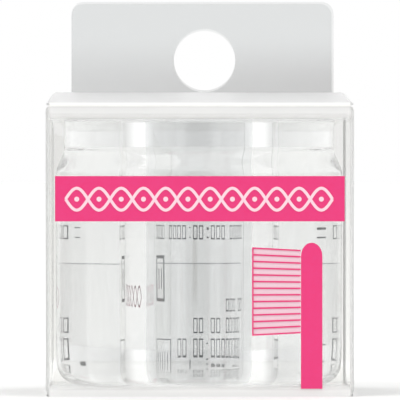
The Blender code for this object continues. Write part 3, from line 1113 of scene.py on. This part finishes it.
def makeOrnament():
    o = ornament
    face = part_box("title_strip")[0].y - o["lift"] - o["depth"]
    run = (o["left"], o["right"], o["foot"], o["top"], o["eyes"])

    def onStrip(point, sign):
        return Vector((point.x, face - (sign > 0) * o["over"], point.y))

    lines = [waveLines(onStrip, run, o["stroke"], sign) for sign in (1, -1)]
    parts = [makeSheet("braid", line, o["depth"]) for line in lines]
    for eye in range(o["eyes"]):
        x = o["left"] + (o["right"] - o["left"]) * (eye + 0.5) / o["eyes"]
        bpy.ops.object.select_all(action="DESELECT")
        bpy.ops.mesh.primitive_cylinder_add(
            vertices=o["dotSteps"],
            radius=o["dot"],
            depth=o["depth"],
            location=(x, face + o["depth"] / 2, (o["foot"] + o["top"]) / 2),
            rotation=(math.pi / 2, 0, 0),
        )
        bpy.ops.object.mode_set(mode="EDIT")
        bpy.ops.mesh.select_all(action="SELECT")
        bpy.ops.mesh.bevel(offset=o["depth"] / 3, segments=1)
        bpy.ops.object.mode_set(mode="OBJECT")
        bpy.ops.object.transform_apply(location=True, rotation=True, scale=True)
        parts.append(bpy.context.object)
    finishPiece(joinPieces("stripOrnament", parts), "sleeve", ornamentInk, [])


# A like braid in thin pink line on the left wall
sideBraid = {
    "run": (-17.0 * mm, 1.0 * mm, 10.2 * mm, 12.9 * mm, 6),  # rear end, front end, foot, top, eyes
    "stroke": 0.26 * mm,
}


def makeSideBraid():
    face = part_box("left_panel")[0].x - ornament["lift"] - ornament["depth"]

    def onWall(point, sign):
        return Vector((face - (sign > 0) * ornament["over"], -point.x, point.y))

    lines = [waveLines(onWall, sideBraid["run"], sideBraid["stroke"], sign) for sign in (1, -1)]
    parts = [makeSheet("sideBraid", line, ornament["depth"]) for line in lines]
    finishPiece(joinPieces("sideBraid", parts), "sleeve", pinkInk, [])


# Prints behind the stand: rows of small empty boxes, two plain frames and even bars. The round
# stand spreads what lies 2 to 3 mm off its axis, so only thin level strokes stand there. In
# millimetres
marks = {
    "depth": 0.015,
    "lift": 0.002,
    "stroke": 0.18,
    "box": 1.1,
    "pitch": 1.5,
    # foot, height, and left end and count of each run of boxes
    "wallBoxes": [(18.4, 1.75, [(-16.4, 4), (-8.9, 4), (-1.5, 2), (3.3, 3), (9.3, 5)])],
    "labelBoxes": [
        (9.5, 1.6, [(7.8, 3), (13.8, 2)]),
        (6.85, 1.9, [(-1.5, 2), (3.3, 2), (7.8, 5)]),
        (4.5, 1.7, [(-5.9, 2), (-1.5, 2), (3.3, 8)]),
        (3.3, 0.7, [(3.3, 3), (10.8, 3)]),
    ],
    # left end, foot, width and height of a mark, pitch, count
    "wallMarks": [
        (-2.45, 18.6, 0.35, 0.12, 1, 1),
        (-2.45, 19.8, 0.35, 0.12, 1, 1),
        (2.1, 18.55, 0.6, 0.2, 1, 1),
        (2.1, 19.6, 0.6, 0.3, 1, 1),
        (-16.3, 16.0, 5.4, 0.4, 1, 1),
        (-16.3, 10.7, 5.4, 0.4, 1, 1),
        (-16.3, 11.1, 0.7, 4.9, 4.7, 2),
        (-14.5, 12.2, 0.5, 2.6, 1.6, 2),
    ],
    "labelMarks": [
        (-16.4, 6.0, 8.2, 0.14, 1, 1),
        (-16.4, 3.3, 0.3, 2.7, 7.9, 2),
        (-15.2, 3.8, 0.3, 1.2, 1.3, 5),
        (-12.95, 1.1, 1.3, 2.0, 4.1, 7),
        (-2.45, 3.75, 0.25, 0.55, 1, 1),
        (2.0, 5.6, 0.5, 0.1, 1, 1),
        (2.0, 4.3, 0.5, 0.12, 1, 1),
        (2.0, 3.9, 0.4, 0.1, 1, 1),
    ],
}


def makeRow(row, face):
    # One mark laid flat behind a wall, repeated along it
    left, foot, width, height, pitch = [value * mm for value in row[:5]]
    ends = [upright(x, face, foot, foot + height) for x in (left + width, left)]
    piece = makeSheet("mark", ends, marks["depth"] * mm)
    if row[5] > 1:
        run = piece.modifiers.new("run", "ARRAY")
        run.use_relative_offset = False
        run.use_constant_offset = True
        run.constant_offset_displace = (pitch, 0, 0)
        run.count = row[5]
        bpy.ops.object.modifier_apply(modifier=run.name)
    return piece


def boxRows(foot, height, runs):
    wide, stroke, pitch = marks["box"], marks["stroke"], marks["pitch"]
    rows = []
    for left, count in runs:
        rows.append((left, foot, wide, stroke, pitch, count))
        rows.append((left, foot + height - stroke, wide, stroke, pitch, count))
        rows.append((left, foot + stroke, stroke, height - 2 * stroke, pitch, count))
        rows.append((left + wide - stroke, foot + stroke, stroke, height - 2 * stroke, pitch, count))
    return rows


def makeMarks():
    out = (marks["depth"] + marks["lift"]) * mm
    for name, node, boxes, rows in (
        ("wallMarks", "back_panel", marks["wallBoxes"], marks["wallMarks"]),
        ("labelMarks", "back_label", marks["labelBoxes"], marks["labelMarks"]),
    ):
        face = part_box(node)[1].y + out
        for foot, height, runs in boxes:
            rows = rows + boxRows(foot, height, runs)
        parts = [makeRow(row, face) for row in rows]
        finishPiece(joinPieces(name, parts), "sleeve", greyInk, [])


print("stand")
makeStand()
print("sheets")
makeSleeve()
makeTabPly()
makeLid()
makeBottom()
makeLidTuck()
makeBottomTuck()
makeDustFlaps()
makeCreases()
print("prints")
makeOrnament()
makeSideBraid()
makeMarks()

# The prints and the sticker keep the CAD's own shapes and only get their finish
finishes = {
    "title_strip": pinkInk,
    "brush_handle_print": pinkInk,
    "bristle_lines_print": pinkInk,
    "bristle_tint_print": paleInk,
    "back_label": labelFilm,
}
for name, material in finishes.items():
    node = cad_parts[name]
    node.data.materials.clear()
    node.data.materials.append(material)
